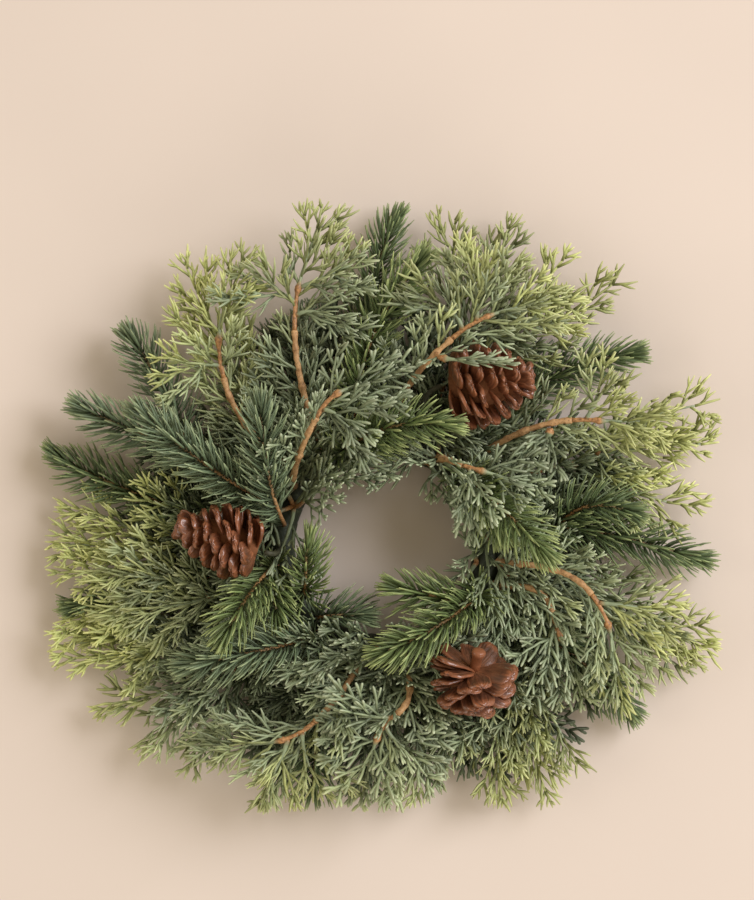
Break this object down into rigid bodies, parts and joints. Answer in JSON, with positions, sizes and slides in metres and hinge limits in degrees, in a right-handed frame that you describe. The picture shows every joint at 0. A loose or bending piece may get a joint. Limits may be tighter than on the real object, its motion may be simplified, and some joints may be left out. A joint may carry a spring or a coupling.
{
  "type": "artificial pine wreath",
  "caption": "Round artificial wreath of pine sprays and forked cedar twigs on a taped ring, with glossy pine cones, for a candle, table or wall.",
  "frame": {"origin": "on the surface that the wreath lies on, under the middle of its outline", "axes": "+Z out of the back towards the foliage, +Y towards the top as it would hang, +X to the right seen from the front"},
  "size_m": [0.3118, 0.2786, 0.0688],
  "materials": {
    "tape": "dark green stem tape",
    "wire": "dull green-brown",
    "twig": "moulded orange-brown bark",
    "cone": "lacquered, glossy",
    "pine": "satin, deep green needles",
    "pine_bright": "satin, bright green needles",
    "pine_blue": "satin, blue-green needles",
    "cedar": "matte, sage green",
    "cedar_lime": "matte, lime green"
  },
  "bodies": {
    "root": {"ring": "tape", "twig_01": "twig", "twig_02": "twig", "twig_03": "twig", "twig_04": "twig", "twig_05": "twig", "twig_06": "twig", "twig_07": "twig", "twig_08": "twig", "twig_09": "twig", "twig_10": "twig", "cone_left": "cone", "cone_left_wire": "wire", "cone_upper_right": "cone", "cone_upper_right_wire": "wire", "cone_lower_right": "cone", "cone_lower_right_wire": "wire", "pine_01": "pine_blue", "pine_02": "pine", "pine_03": "pine_blue", "pine_04": "pine_blue", "pine_05": "pine", "pine_06": "pine_bright", "pine_07": "pine", "pine_08": "pine_bright", "pine_09": "pine_bright", "pine_10": "pine", "pine_11": "pine", "pine_12": "pine_bright", "pine_13": "pine_bright", "pine_14": "pine_bright", "pine_15": "pine_blue", "pine_16": "pine", "pine_17": "pine", "pine_18": "pine_blue", "cedar_01": "cedar", "cedar_02": "cedar", "cedar_03": "cedar_lime", "cedar_04": "cedar", "cedar_05": "cedar_lime", "cedar_06": "cedar", "cedar_07": "cedar", "cedar_08": "cedar_lime", "cedar_09": "cedar", "cedar_10": "cedar", "cedar_11": "cedar_lime", "cedar_12": "cedar_lime", "cedar_13": "cedar", "cedar_14": "cedar", "cedar_15": "cedar_lime", "cedar_16": "cedar_lime", "cedar_17": "cedar_lime", "cedar_18": "cedar_lime", "cedar_19": "cedar", "cedar_20": "cedar_lime", "cedar_21": "cedar_lime", "cedar_22": "cedar", "cedar_23": "cedar_lime", "cedar_24": "cedar_lime", "cedar_25": "cedar"}
  },
  "joints": []
}
